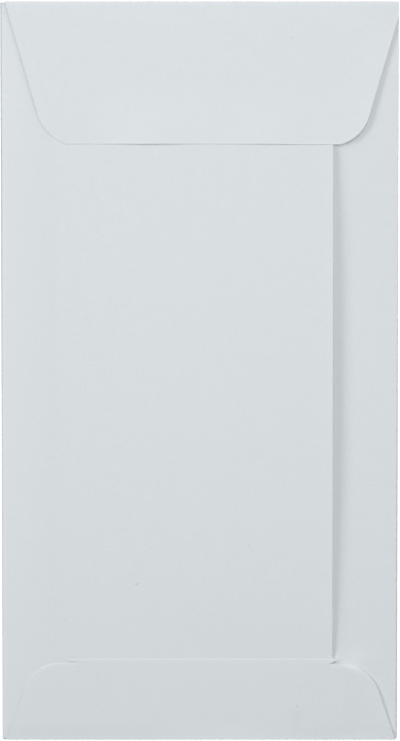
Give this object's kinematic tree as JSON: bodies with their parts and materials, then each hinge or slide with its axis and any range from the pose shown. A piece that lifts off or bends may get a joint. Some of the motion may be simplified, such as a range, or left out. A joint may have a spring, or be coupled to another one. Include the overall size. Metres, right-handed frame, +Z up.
{
  "type": "pocket envelope",
  "caption": "Small pocket envelope in plain white paper, with an off-centre side seam, a glued bottom flap and a folded seal flap that opens on its crease.",
  "frame": {"origin": "middle of the folded envelope's outline, on the table under the front panel", "axes": "+Y towards the seal flap's fold, +X to the right as seen from the seam side, +Z up out of the seam side"},
  "size_m": [0.0886, 0.1652, 0.0012],
  "materials": {
    "paper": "matte uncoated wove",
    "dried_glue": "dull dried film",
    "dry_gum": "glossy dry gum"
  },
  "bodies": {
    "pocket": {"front_panel": "paper", "back_panel": "paper", "side_flap": "paper", "bottom_flap": "paper", "left_fold": "paper", "right_fold": "paper", "bottom_fold": "paper", "top_fold": "paper", "side_seam_glue": "dried_glue", "bottom_glue_on_back": "dried_glue", "bottom_glue_on_side": "dried_glue"},
    "flap": {"seal_flap": "paper", "seal_gum": "dry_gum"}
  },
  "joints": [
    {"name": "seal_flap_hinge", "type": "hinge", "parent": "pocket", "child": "flap", "pos_m": [0, 0.08217, 0.00044], "axis": [-1, 0, 0], "range_deg": [0, 179], "deforming": ["top_fold"]}
  ]
}
